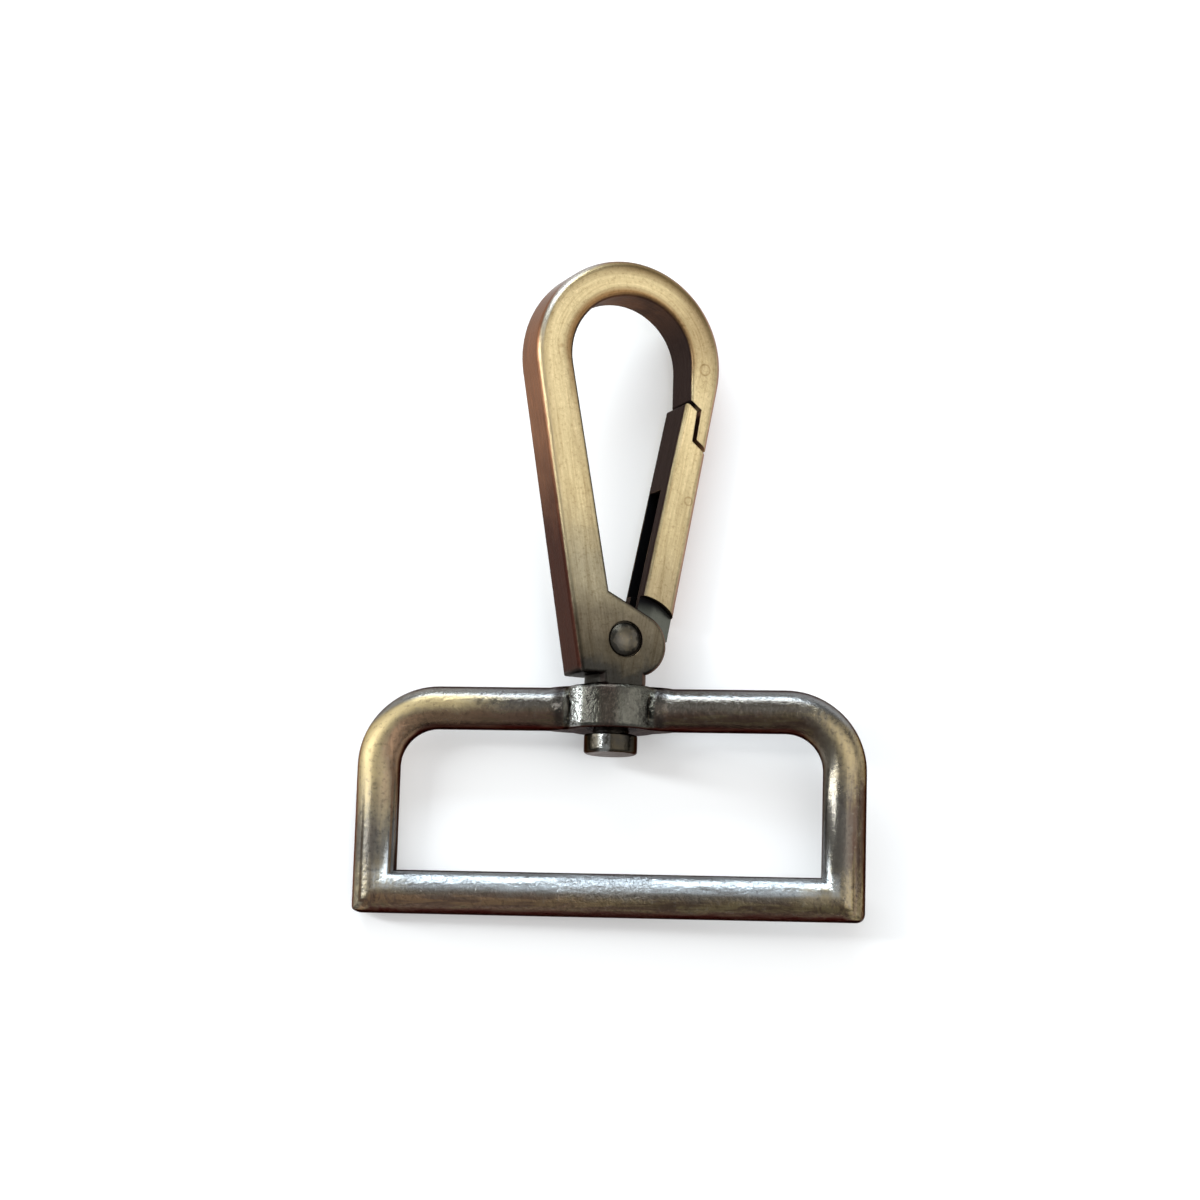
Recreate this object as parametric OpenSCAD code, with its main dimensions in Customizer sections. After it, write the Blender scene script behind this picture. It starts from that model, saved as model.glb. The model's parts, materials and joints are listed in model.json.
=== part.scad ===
// Swivel snap hook on a rectangular strap ring, lying at rest on a table.
// Millimetres, +Z up. Each piece is drawn in its own working plane and then laid down.
// Working plane: X across, Y along the swivel from ring to hook, Z out of the hook's face,
// with the origin at the middle of the swivel barrel.

/* [Strap ring] */
// Clear width for the strap
strap_w = 38; // [34:0.5:42]
// Clear height of the strap opening
strap_gap = 12.7; // [11.5:0.1:15]
// Diameter of the ring's round bar
bar_d = 3.9; // [3.4:0.1:4.4]
// Inside radius of the two bent upper corners
corner_in_r = 3.4; // [2.6:0.1:4]
// Plan radius that softens the two mitred lower corners
mitre_soft = 0.9; // [0.4:0.1:1.2]

/* [Swivel] */
// Diameter of the barrel in the middle of the upper bar
barrel_d = 7.6; // [7:0.1:8.4]
// Extra width of the barrel across, from the flats on its front and back
barrel_flat = 0.9; // [0.5:0.1:1.1]
// Height of the barrel along the swivel axis
barrel_h = 3.9; // [3.6:0.1:4.4]
// Edge radius of the barrel
barrel_edge = 0.45; // [0.2:0.05:0.6]
// Length of the cone that blends each bar end into the barrel
neck_len = 1.25; // [0.8:0.05:1.6]
// Diameter of the stud's shank
shank_d = 3.2; // [2.9:0.1:3.4]
// Running clearance between shank and barrel, on the radius
shank_clear = 0.08; // [0.04:0.01:0.1]
// Diameter of the stud's head
head_d = 4.8; // [4.4:0.1:5.4]
// Height of the stud's head
head_h = 1.7; // [1.3:0.1:2]
// Edge radius of the stud's head
head_edge = 0.3; // [0.1:0.05:0.4]
// End play between the head and the barrel
head_gap = 0.35; // [0.2:0.05:0.5]
// End play between the barrel and the hook's neck
neck_gap = 0.1; // [0.06:0.02:0.2]
// Diameter of the neck at the foot of the hook, before its two flats
neck_d = 5.5; // [5.1:0.1:5.9]
// Sideways place of the neck's middle
neck_x = 0.26; // [0.1:0.02:0.3]
// Height of the neck below the plate of the hook
neck_h = 0.9; // [0.6:0.05:1.2]

/* [Hook] */
// Outer width of the loop
hook_w = 18.3; // [17:0.1:20]
// Distance from the barrel to the centre of the loop
hook_reach = 32; // [30:0.1:35]
// Thickness of the hook and of the gate
hook_t = 4.3; // [4.1:0.1:4.6]
// Lean of each outer side from the swivel axis
side_lean = 10.3; // [9.8:0.1:10.8]
// Inner width of the loop
eye_w = 11.76; // [11.2:0.02:12.2]
// Lean of the eye's long side and of the gate's inner side from the swivel axis
eye_lean = 11.4; // [11:0.1:11.8]
// Sideways shift of the eye towards the gate
eye_shift = 0.22; // [0.1:0.02:0.3]
// Edge radius round the outside
edge_out = 0.7; // [0.5:0.05:0.7]
// Radius of the outer corner at the foot of the long side
foot_r = 0.55; // [0.3:0.05:0.8]
// Edge radius round the eye and on the ears
edge_in = 0.45; // [0.2:0.05:0.5]

/* [Ears and rivet] */
// Sideways place of the rivet
rivet_x = 0.24; // [0.1:0.02:0.3]
// Height of the rivet above the foot of the plate
rivet_up = 3.25; // [3.1:0.05:3.6]
// Diameter of the rivet's shank
rivet_d = 2; // [1.8:0.1:2.2]
// Diameter of the rivet's formed heads
rivet_head_d = 3.05; // [2.8:0.05:3.2]
// Depth of the round seat that each rivet head fills
rivet_seat = 0.3; // [0.2:0.05:0.35]
// Height of each rivet head above its seat
rivet_crown = 0.48; // [0.4:0.02:0.54]
// Gap all round the rivet head in its seat
rivet_ring = 0.13; // [0.1:0.01:0.2]
// Radius of the ear's round end
ear_r = 2.9; // [2.8:0.05:3.1]
// Distance from the rivet to the middle of the ear's round end
ear_out = 1.2; // [1:0.05:1.3]
// Slope of the ears' upper edge
ear_slope = 26; // [24:0.5:28]
// Thickness of each ear
ear_t = 0.75; // [0.7:0.01:0.8]

/* [Gate] */
// Width of the gate across, at the height of the loop's centre
gate_w = 3.03; // [3:0.01:3.12]
// Gap between the gate's nose and the hook's tip
nose_gap = 0.42; // [0.3:0.02:0.5]
// Distance from the loop's centre down to the top of the nose
nose_drop = 3.5; // [3.2:0.1:3.8]
// Length of the nose's side, which the tip of the hook covers
nose_len = 2.88; // [2.5:0.02:3.2]
// Thickness of the hook's tip and the gap beside the nose, at the nose's upper corner
nose_cover = 1.8; // [1.6:0.02:1.9]
// Height of the slanted top of the nose
nose_in = 0.63; // [0.4:0.01:0.8]
// Lean of the nose's side from the swivel axis
nose_lean = 8.4; // [7:0.1:9.5]
// Slope of the two slanted faces of the interlock
nose_slope = 38; // [34:1:42]
// Corner radius at the inner top of the nose
nose_r = 0.34; // [0.2:0.02:0.36]
// Side play of the gate's tongue between the ears
tongue_play = 0.07; // [0.04:0.01:0.1]
// Radius of the tongue round the rivet
tongue_r = 2.3; // [2.1:0.05:2.4]
// Clearance between the tongue and the floor of the ear slot
slot_clear = 0.28; // [0.2:0.02:0.35]
// Reach of the tongue's heel from the rivet
heel_r = 4.25; // [4:0.05:4.3]
// Direction of the stop that the heel closes on, below level
stop_dip = 28; // [24:1:32]
// Clearance at the stop and of the tongue on the rivet
pivot_clear = 0.06; // [0.03:0.01:0.09]
// Gap between the gate's shoulder and the ears
shoulder_gap = 1.6; // [1.3:0.05:1.8]
// Width of the slot in the gate that takes the spring
groove_w = 1.56; // [1.5:0.02:1.6]
// Wall left outside that slot
groove_wall = 1.2; // [1:0.05:1.5]
// Distance from the rivet to the upper end of that slot
groove_top = 14.3; // [13:0.1:16]
// Reach of that slot towards the back above the tongue, from the middle of the gate
groove_back = 1.6; // [1:0.05:1.65]

/* [Spring] */
// Wire diameter
wire_d = 0.4; // [0.36:0.01:0.42]
// Mean radius of the coil
coil_r = 1.36; // [1.34:0.01:1.45]
// Turns of the coil, with a quarter more to the legs
coil_turns = 2; // [1:1:2]
// Length of the leg that lies in the gate
leg_len = 9; // [7:0.5:11]

/* [Rest] */
// How far the hook is rolled on the table, its gate side down
hook_roll = 28.5; // [20:0.5:34]

/* [Hidden] */
// Curve quality, and how far a cutter runs past what it cuts
$fn = 96;
over = 1;
far = 60;

// Strap ring
bar_r = bar_d / 2;
bend_r = corner_in_r + bar_r;
side_x = strap_w / 2 + bar_r;
foot_bar_y = -(strap_gap + bar_d);

// Swivel
head_top = -barrel_h / 2 - head_gap;
neck_y = barrel_h / 2 + neck_gap;
plate_y = neck_y + neck_h;

// Hook: outer and inner outlines
loop_r = hook_w / 2;
loop_c = [0, hook_reach];
eye_r = eye_w / 2;
eye_c = [eye_shift, hook_reach];

// Rivet and ears
pivot = [rivet_x, plate_y + rivet_up];
ear_c = [rivet_x + ear_out, plate_y + ear_r];
slot_w = hook_t - 2 * ear_t;
tongue_w = slot_w - 2 * tongue_play;
slot_r = tongue_r + slot_clear;
shank_top = pivot[1] - slot_r - 0.1;

// A direction in the plane, and the outer and inner sides as point and outward direction
function dir(a) = [cos(a), sin(a)];
function rim(c, r, a) = c + r * dir(a);
out_r = rim(loop_c, loop_r, -side_lean);
out_l = rim(loop_c, loop_r, 180 + side_lean);
in_l = rim(eye_c, eye_r, 180 + eye_lean);

// Inner side of the gate, as point and outward direction
gate_in = [out_r[0] + (hook_reach - out_r[1]) * tan(side_lean) - gate_w, hook_reach];

// Place on a leaning side at a given height
function side_at(p, lean, y) = [p[0] + (y - p[1]) * tan(lean), y];

// Nose of the gate: the corner under the slanted top, the inner corner, and the end on the side
nose_y = hook_reach - nose_drop;
nose_a = side_at(out_r, side_lean, nose_y - nose_in) - [nose_cover, 0];
nose_b = nose_a + nose_len * dir(270 - nose_lean);
slant = dir(-nose_slope);
nose_top = nose_a - slant * nose_in / sin(nose_slope);
nose_end = nose_b + slant * 4;

// The tip of the hook runs parallel to the nose, one gap away
function mitre(n1, n2) = (n1 + n2) / (1 + n1 * n2);
tip_shift = nose_gap * mitre(dir(90 - nose_slope), dir(-nose_lean));
tip_a = nose_a + tip_shift;
tip_b = nose_b + tip_shift;

// Resting pose. Barrel, loop and one lower corner of the ring touch the table.
// Each step takes the pitch and gives a better one.
function barrel_low(p) = (barrel_d / 2 - barrel_edge) * cos(p)
    + (barrel_h / 2 - barrel_edge) * abs(sin(p)) + barrel_edge;
function loop_low(p) = (loop_r - edge_out) * sqrt(pow(cos(p) * sin(hook_roll), 2) + pow(sin(p), 2))
    + (hook_t / 2 - edge_out) * cos(p) * cos(hook_roll) + edge_out;
function roll_at(p, z) = asin((z + foot_bar_y * sin(p) - bar_r) / (side_x * cos(p)));
function rest_z(p) = barrel_low(p) + barrel_flat / 2 * cos(p) * sin(roll_at(p, barrel_low(p)));
function next_pitch(p) = asin((loop_low(p) - rest_z(p)) / hook_reach);
pitch = next_pitch(next_pitch(next_pitch(next_pitch(4))));
axis_z = rest_z(pitch);
ring_roll = roll_at(pitch, axis_z);

// Middle of the whole length, so that the part lies over the origin
reach_up = hook_reach * cos(pitch) + (hook_t / 2 - edge_out) * sin(pitch) * cos(hook_roll) + edge_out
    + (loop_r - edge_out) * sqrt(pow(sin(pitch) * sin(hook_roll), 2) + pow(cos(pitch), 2));
reach_down = -foot_bar_y * cos(pitch) + side_x * sin(pitch) * sin(ring_roll) + bar_r;
axis_y = (reach_down - reach_up) / 2;

// Lays a piece down: its roll about the swivel, the pitch of the swivel, and its place
module lay(roll) {
    translate([0, axis_y, axis_z])
        rotate([pitch, 0, 0])
            rotate([0, roll, 0])
                children();
}

// Turns a profile's height into the swivel direction
module along_y() {
    rotate([-90, 0, 0])
        children();
}

// Half profile of a round piece with rounded rims: from the axis to radius r, from y0 to y1
module round_profile(r, y0, y1, e0, e1) {
    square_between([0, y0 + e0], [r, y1 - e1]);
    square_between([0, y0], [r - e0, y0 + e0]);
    square_between([0, y1 - e1], [r - e1, y1]);
    translate([r - e0, y0 + e0])
        circle(r = e0);
    translate([r - e1, y1 - e1])
        circle(r = e1);
}

module square_between(a, b) {
    translate(a)
        square(b - a);
}

// Cross-section of a plate's rounded edge, the edge at x = 0 and the plate on its left
module edge_profile(depth, t, e) {
    square_between([-depth, -t / 2], [-e, t / 2]);
    square_between([-e * 1.5, -t / 2 + e], [0, t / 2 - e]);
    for (s = [-1, 1])
        translate([-e, s * (t / 2 - e)])
            circle(r = e);
}

// Plate with a straight rounded edge through p, its outward direction a
module edge_slab(p, a, e, depth = 40, t = hook_t) {
    translate([p[0], p[1], 0])
        rotate([0, 0, a])
            rotate([90, 0, 0])
                linear_extrude(height = 2 * far, center = true)
                    edge_profile(depth, t, e);
}

// Section of what rounds off the two edges of a hole whose wall is at x = 0, hole on the right.
// Its radius is a touch larger than the edge, so that it meets both faces at a clear angle.
module relief_profile(t, e) {
    for (s = [0, 1])
        mirror([0, s])
            difference() {
                square_between([-e, t / 2 - e], [over / 2, t / 2 + over]);
                translate([-e, t / 2 - e])
                    circle(r = e + 0.01);
            }
}

// Rounds off a straight side of the eye, from the loop downwards; flip is 1 for the gate's side
module eye_relief(p, a, len, flip) {
    translate([p[0], p[1], 0])
        mirror([flip, 0, 0])
            rotate([0, 0, a])
                rotate([90, 0, 0])
                    linear_extrude(height = len)
                        relief_profile(hook_t, edge_in);
}

// Outline of the eye, open far down between the ears
module eye_outline() {
    translate(eye_c)
        circle(r = eye_r);
    low = plate_y + 1;
    polygon([
        in_l, eye_c, [eye_c[0] + eye_r, eye_c[1]], [eye_c[0] + eye_r, low],
        side_at(in_l, -eye_lean, low)
    ]);
}

// Eye as a cutter, with its rounded edges
module eye_cut() {
    linear_extrude(height = hook_t + 2 * over, center = true)
        eye_outline();
    translate([eye_c[0], eye_c[1], 0])
        rotate_extrude(angle = 180 + eye_lean)
            translate([eye_r, 0])
                mirror([1, 0])
                    relief_profile(hook_t, edge_in);
    eye_relief(in_l, eye_lean, hook_reach - pivot[1], 0);
    eye_relief([eye_c[0] + eye_r, eye_c[1]], 0, nose_drop + 1, 1);
}

// Everything on the gate's side of the tip and below it
module gate_side() {
    left = [eye_shift, tip_a[1] + (tip_a[0] - eye_shift) * tan(nose_slope)];
    end = tip_b + slant * 8;
    linear_extrude(height = hook_t + 2 * over, center = true)
        polygon([left, tip_a, tip_b, end, [end[0], -over], [eye_shift, -over]]);
}

// Loop with its two sides, before the gate's side is taken away
module loop_plate() {
    translate([0, hook_reach, 0])
        rotate([0, 0, -side_lean])
            rotate_extrude(angle = 180 + 2 * side_lean)
                intersection() {
                    round_profile(loop_r, -hook_t / 2, hook_t / 2, edge_out, edge_out);
                    square_between([0, -hook_t], [loop_r, hook_t]);
                }
    side_bar(out_l, 180 + side_lean, out_l[1] - pivot[1]);
    side_bar(out_r, -side_lean, nose_drop + nose_len + 2);
}

// Straight side of the loop, from p down over a length, its outer edge towards a
module side_bar(p, a, len) {
    translate([p[0], p[1], 0])
        rotate([0, 0, a])
            rotate([90, 0, 0])
                translate([0, 0, cos(a) > 0 ? 0 : -len])
                    linear_extrude(height = len)
                        edge_profile(loop_r - eye_r + 2, hook_t, edge_out);
}

// Ears and foot: a round end on the right, the sloping upper edge and the flat foot
module foot_plate() {
    translate([ear_c[0], ear_c[1], 0])
        rotate([0, 0, -90])
            rotate_extrude(angle = 180 - ear_slope)
                round_profile(ear_r, -hook_t / 2, hook_t / 2, edge_in, edge_in);
    difference() {
        intersection() {
            edge_slab(rim(ear_c, ear_r, 90 - ear_slope), 90 - ear_slope, edge_in);
            edge_slab([0, plate_y], -90, edge_in);
            edge_slab(out_l, 180 + side_lean, edge_out);
        }
        ear_half(0);
        ear_half(-ear_slope);
    }
}

// Region right of the ear's centre, turned by a
module ear_half(a) {
    translate([ear_c[0], ear_c[1], 0])
        rotate([0, 0, a])
            translate([0, a == 0 ? -far : 0, -far / 2])
                cube(far);
}

// Neck that turns on the barrel: round, and cut flush with both faces of the plate
module neck() {
    r = neck_d / 2;
    top = plate_y + 0.6;
    intersection() {
        translate([neck_x, 0, 0])
            rotate([-90, 0, 0])
                rotate_extrude()
                    polygon([[0, neck_y], [r - 0.15, neck_y], [r, neck_y + 0.15], [r, top], [0, top]]);
        translate([-far / 2, 0, -hook_t / 2])
            cube([far, far, hook_t]);
    }
}

// What is taken off the outer corner at the foot of the long side.
// Its round is a touch larger than the corner, so that it meets both sides at a clear angle.
module foot_corner_cut() {
    corner = side_at(out_l, -side_lean, plate_y);
    reach = foot_r / tan((90 + side_lean) / 2);
    on_foot = corner + [reach, 0];
    on_side = corner + reach * dir(90 + side_lean);
    middle = on_foot + [0, foot_r];
    linear_extrude(height = hook_t + over, center = true)
        difference() {
            polygon([
                middle, on_foot, on_foot - [0, over], corner - [over, over],
                on_side + over * dir(180 + side_lean), on_side
            ]);
            translate(middle)
                circle(r = foot_r + 0.01);
        }
}

// Slot between the ears: round the rivet, and open upwards and outwards above the stop
module ear_slot(w, r) {
    up = dir(90 + eye_lean);
    out = dir(-stop_dip);
    linear_extrude(height = w, center = true) {
        translate(pivot)
            circle(r = r);
        polygon([pivot, pivot + 12 * out, pivot + [12, 12], pivot + 12 * up]);
    }
}

module rivet_seats() {
    for (s = [0, 1])
        mirror([0, 0, s])
            translate([pivot[0], pivot[1], hook_t / 2 - rivet_seat])
                cylinder(r = rivet_head_d / 2 + rivet_ring, h = over);
}

module hook_body() {
    color("DarkKhaki")
        lay(hook_roll)
            difference() {
                union() {
                    difference() {
                        loop_plate();
                        eye_cut();
                        gate_side();
                    }
                    foot_plate();
                    neck();
                }
                foot_corner_cut();
                ear_slot(slot_w, slot_r);
                translate([pivot[0], pivot[1], -hook_t])
                    cylinder(d = rivet_d, h = 2 * hook_t);
                rivet_seats();
                translate([0, neck_y - over, 0])
                    along_y()
                        cylinder(d = shank_d, h = shank_top + 0.12 - neck_y + over);
            }
}

// Outline of the gate between nose and shoulder; its two sides are cut by the slabs
module gate_outline() {
    corner_y = nose_y - nose_r;
    corner = side_at(gate_in, eye_lean, corner_y) + [nose_r / cos(eye_lean), 0];
    touch = corner - nose_r * dir(-eye_lean);
    difference() {
        union() {
            polygon([
                touch, corner, [corner[0], nose_y], [nose_top[0], nose_y], nose_top, nose_a, nose_b,
                nose_end, [nose_end[0], pivot[1]], side_at(touch, eye_lean, pivot[1])
            ]);
            translate(corner)
                circle(r = nose_r);
        }
        shoulder_outline();
    }
}

// Room for the ears, parallel to their outline
module shoulder_outline() {
    r = ear_r + shoulder_gap;
    translate(ear_c)
        circle(r = r);
    translate([-far, -far])
        square([far + ear_c[0], far + ear_c[1] + 2]);
}

module gate_bar() {
    intersection() {
        linear_extrude(height = hook_t, center = true)
            gate_outline();
        edge_slab(out_r, -side_lean, edge_out);
        edge_slab(gate_in, 180 - eye_lean, edge_in);
    }
}

// Tongue between the ears: a disc round the rivet and the lower end of the gate, down to the stop
module gate_tongue() {
    linear_extrude(height = tongue_w, center = true) {
        translate(pivot)
            circle(r = tongue_r);
        difference() {
            intersection() {
                polygon([
                    side_at(gate_in, eye_lean, pivot[1] - 6), side_at(out_r, side_lean, pivot[1] - 6),
                    side_at(out_r, side_lean, pivot[1] + 7), side_at(gate_in, eye_lean, pivot[1] + 7)
                ]);
                union() {
                    translate(pivot)
                        circle(r = heel_r);
                    translate(pivot + [-1, 0.2])
                        square([9, 7.8]);
                }
            }
            heel_cut();
        }
    }
}

// What is taken off the heel so that it closes on the stop
module heel_cut() {
    translate(pivot)
        rotate(-stop_dip)
            translate([0, -far + pivot_clear])
                square([far, far]);
}

// Slot that takes the spring: along the gate's inner side and through the tongue
module spring_groove() {
    inner = groove_wall / cos(side_lean);
    low = pivot[1] - tongue_r - 1;
    high = pivot[1] + groove_top;
    linear_extrude(height = groove_w, center = true)
        polygon([
            side_at(gate_in, eye_lean, high) - [2, 0], side_at(out_r, side_lean, high) - [inner, 0],
            side_at(out_r, side_lean, pivot[1] + 1) - [inner, 0], pivot + 2.1 * dir(-stop_dip),
            [pivot[0] + 1, low], [pivot[0] - 5, low], [pivot[0] - 5, pivot[1] + 3]
        ]);
}

// Wider part of the slot, towards the back of the gate and above the tongue
module groove_widening() {
    inner = groove_wall / cos(side_lean);
    low = pivot[1] + 4.4;
    high = pivot[1] + groove_top;
    translate([0, 0, -groove_back])
        linear_extrude(height = groove_back)
            polygon([
                side_at(gate_in, eye_lean, high) - [2, 0], side_at(out_r, side_lean, high) - [inner, 0],
                side_at(out_r, side_lean, low) - [inner, 0], side_at(gate_in, eye_lean, low) - [2, 0]
            ]);
}

module gate() {
    color("Khaki")
        lay(hook_roll)
            difference() {
                union() {
                    gate_bar();
                    gate_tongue();
                }
                spring_groove();
                groove_widening();
                translate([pivot[0], pivot[1], -hook_t])
                    cylinder(r = rivet_d / 2 + pivot_clear, h = 2 * hook_t);
            }
}

// Rivet with a low crown formed at each end
module gate_rivet() {
    crown_r = (pow(rivet_head_d / 2, 2) + pow(rivet_crown - 0.2, 2)) / (2 * (rivet_crown - 0.2));
    seat = hook_t / 2 - rivet_seat;
    color("Tan")
        lay(hook_roll)
            translate([pivot[0], pivot[1], 0])
                rotate_extrude() {
                    square_between([0, -seat], [rivet_d / 2, seat]);
                    for (s = [0, 1])
                        mirror([0, s])
                            translate([0, seat]) {
                                square([rivet_head_d / 2, 0.2]);
                                intersection() {
                                    translate([0, rivet_crown - crown_r])
                                        circle(r = crown_r);
                                    square([rivet_head_d / 2, rivet_crown]);
                                }
                            }
                }
}

// Stud that holds the hook to the ring: its shank is fast in the hook's foot
module swivel_stud() {
    color("DimGray")
        lay(hook_roll)
            along_y()
                rotate_extrude() {
                    square_between([0, head_top - 0.5], [shank_d / 2, shank_top]);
                    intersection() {
                        round_profile(head_d / 2, head_top - head_h, head_top, head_edge, 0.15);
                        square_between([0, -far], [far, far]);
                    }
                }
}

module ring_bars() {
    // Upper bar, side bars and foot bar
    translate([-(side_x - bend_r), 0, 0])
        rotate([0, 90, 0])
            cylinder(r = bar_r, h = 2 * (side_x - bend_r));
    translate([-side_x, foot_bar_y, 0])
        rotate([0, 90, 0])
            cylinder(r = bar_r, h = 2 * side_x);
    for (s = [0, 1])
        mirror([s, 0, 0]) {
            translate([side_x, foot_bar_y, 0])
                along_y()
                    cylinder(r = bar_r, h = -bend_r - foot_bar_y);
            translate([side_x - bend_r, -bend_r, 0])
                rotate_extrude(angle = 90)
                    translate([bend_r, 0])
                        circle(r = bar_r);
            mitre_corner();
        }
}

// Outer quarter of a mitred corner, where the foot bar meets a side bar
module mitre_corner() {
    translate([side_x, foot_bar_y, 0])
        intersection() {
            translate([-over, 0, 0])
                rotate([0, 90, 0])
                    cylinder(r = bar_r, h = 2 * bar_d);
            translate([0, -2 * bar_d + over, 0])
                along_y()
                    cylinder(r = bar_r, h = 2 * bar_d);
            linear_extrude(height = bar_d + over, center = true) {
                square_between([-bar_r, -bar_r + mitre_soft], [bar_r, bar_r]);
                square_between([-bar_r, -bar_r], [bar_r - mitre_soft, bar_r]);
                translate([bar_r - mitre_soft, -bar_r + mitre_soft])
                    circle(r = mitre_soft);
            }
        }
}

// Cones that blend the upper bar into the barrel
module barrel_necks() {
    wide = 0.42;
    root = (barrel_d + barrel_flat) / 2 - 0.6;
    for (s = [0, 1])
        mirror([s, 0, 0])
            intersection() {
                translate([root, 0, 0])
                    rotate([0, 90, 0])
                        cylinder(r1 = bar_r + wide, r2 = bar_r, h = neck_len + 0.6);
                translate([0, -barrel_h / 2, -far / 2])
                    cube([far, barrel_h, far]);
            }
}

// Barrel: two round ends and the flats between them
module barrel() {
    for (s = [-1, 1])
        translate([s * barrel_flat / 2, 0, 0])
            along_y()
                rotate_extrude()
                    round_profile(barrel_d / 2, -barrel_h / 2, barrel_h / 2, barrel_edge, barrel_edge);
    rotate([0, 90, 0])
        linear_extrude(height = barrel_flat, center = true)
            rotate(90)
                round_corner_block(barrel_h, barrel_d, barrel_edge);
}

// Rectangle with four round corners, its middle at the origin
module round_corner_block(w, h, e) {
    square_between([-w / 2 + e, -h / 2], [w / 2 - e, h / 2]);
    square_between([-w / 2, -h / 2 + e], [w / 2, h / 2 - e]);
    for (s = [-1, 1], t = [-1, 1])
        translate([s * (w / 2 - e), t * (h / 2 - e)])
            circle(r = e);
}

module strap_ring() {
    color("SlateGray")
        lay(-ring_roll)
            difference() {
                union() {
                    ring_bars();
                    barrel_necks();
                    barrel();
                }
                translate([0, -barrel_h, 0])
                    along_y()
                        cylinder(r = shank_d / 2 + shank_clear, h = 2 * barrel_h);
            }
}

// Spring: a wire swept along a path, from the stop leg round the rivet to the gate leg
function coil_point(a) = [
    pivot[0] + coil_r * cos(a), pivot[1] + coil_r * sin(a),
    (a - coil_mid) / 360 * (wire_d + 0.02)
];
coil_from = 180;
coil_to = 360 * coil_turns + 360;
coil_mid = (coil_from + coil_to) / 2;
coil_step = 15;
leg_rest = side_at(out_r, side_lean, pivot[1] + leg_len) - [groove_wall / cos(side_lean) + wire_d / 2 + 0.05, 0];
wire_path = concat(
    [coil_point(coil_from) + [0.12, 1.9, 0]],
    [for (a = [coil_from : coil_step : coil_to]) coil_point(a)],
    [[leg_rest[0], leg_rest[1], coil_point(coil_to)[2]]]
);
wire_n = len(wire_path);
wire_sides = 10;
function unit(v) = v / norm(v);
function heading(i) = unit(wire_path[min(i + 1, wire_n - 1)] - wire_path[max(i - 1, 0)]);
function wire_ring(i) = let (t = heading(i), u = unit(cross(t, [0, 0, 1])), v = cross(t, u))
    [for (k = [0 : wire_sides - 1])
        wire_path[i] + wire_d / 2 * (u * cos(360 * k / wire_sides) + v * sin(360 * k / wire_sides))];

module gate_spring() {
    points = [for (i = [0 : wire_n - 1]) each wire_ring(i)];
    last = (wire_n - 1) * wire_sides;
    sides = [
        for (i = [0 : wire_n - 2], k = [0 : wire_sides - 1])
            let (a = i * wire_sides + k, b = i * wire_sides + (k + 1) % wire_sides)
                [a, b, b + wire_sides, a + wire_sides]
    ];
    ends = [
        [for (k = [wire_sides - 1 : -1 : 0]) k],
        [for (k = [0 : wire_sides - 1]) last + k]
    ];
    color("Silver")
        lay(hook_roll)
            polyhedron(points, concat(sides, ends), convexity = 6);
}

strap_ring();
swivel_stud();
hook_body();
gate();
gate_rivet();
gate_spring();
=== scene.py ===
"""Dresses a swivel snap hook: softened pieces, antique brass finishes, table, light and camera."""

import json
import math

import bpy
from mathutils import Matrix, Vector


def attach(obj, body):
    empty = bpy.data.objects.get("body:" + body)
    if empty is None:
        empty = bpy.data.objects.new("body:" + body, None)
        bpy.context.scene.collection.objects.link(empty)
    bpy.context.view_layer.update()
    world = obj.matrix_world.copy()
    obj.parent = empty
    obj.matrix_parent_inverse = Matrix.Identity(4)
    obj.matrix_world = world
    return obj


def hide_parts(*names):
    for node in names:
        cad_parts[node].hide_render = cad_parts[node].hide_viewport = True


bl_info = {
    "name": "Swivel Snap Hook",
    "version": (1, 0, 0),
    "blender": (4, 5, 0),
    "location": "View3D > Sidebar > Snap Hook",
    "description": "Builds the finished look of a snap hook on a strap ring",
    "category": "Object",
}

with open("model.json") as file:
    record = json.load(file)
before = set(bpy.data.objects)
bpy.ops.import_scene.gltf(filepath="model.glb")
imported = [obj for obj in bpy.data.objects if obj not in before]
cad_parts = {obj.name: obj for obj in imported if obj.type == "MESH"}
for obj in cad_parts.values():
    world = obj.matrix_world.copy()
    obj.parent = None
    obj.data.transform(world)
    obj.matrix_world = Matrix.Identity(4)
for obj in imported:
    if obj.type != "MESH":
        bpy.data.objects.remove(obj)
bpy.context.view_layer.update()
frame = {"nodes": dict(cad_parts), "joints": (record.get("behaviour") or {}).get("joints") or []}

MM = 0.001

# How the part lies: the swivel and the gate pivot come with the frame
JOINTS = {joint["name"]: joint for joint in frame["joints"]}
SWIVEL_AT = Vector(JOINTS["swivel"]["pos_m"])
SWIVEL_DIR = Vector(JOINTS["swivel"]["axis"]).normalized()
PIVOT_AT = Vector(JOINTS["gate_pivot"]["pos_m"])
FACE_DIR = Vector(JOINTS["gate_pivot"]["axis"]).normalized()
SIDE_DIR = SWIVEL_DIR.cross(FACE_DIR).normalized()

# The ring lies nearly flat: its left side bar is a little lower than its right one
RING_ROLL = math.radians(2.35446)
PITCH = math.asin(SWIVEL_DIR.z)

# Rotation of each working plane: X across, Y along the swivel, Z out of the face
HOOK_TURN = Matrix((SIDE_DIR, SWIVEL_DIR, FACE_DIR)).transposed()
RING_TURN = Matrix.Rotation(PITCH, 3, "X") @ Matrix.Rotation(-RING_ROLL, 3, "Y")

# Places in the hook's plane, in metres from the middle of the barrel
EYE_Y = 32.0 * MM
NECK_LOW = 2.9 * MM
NECK_TOP = 3.6 * MM
FACE_Z = 1.65 * MM
FACE_MARGIN = 0.04 * MM
RAIL_LEAN = 0.19
RAIL_MIDDLE = 7.55 * MM

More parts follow.
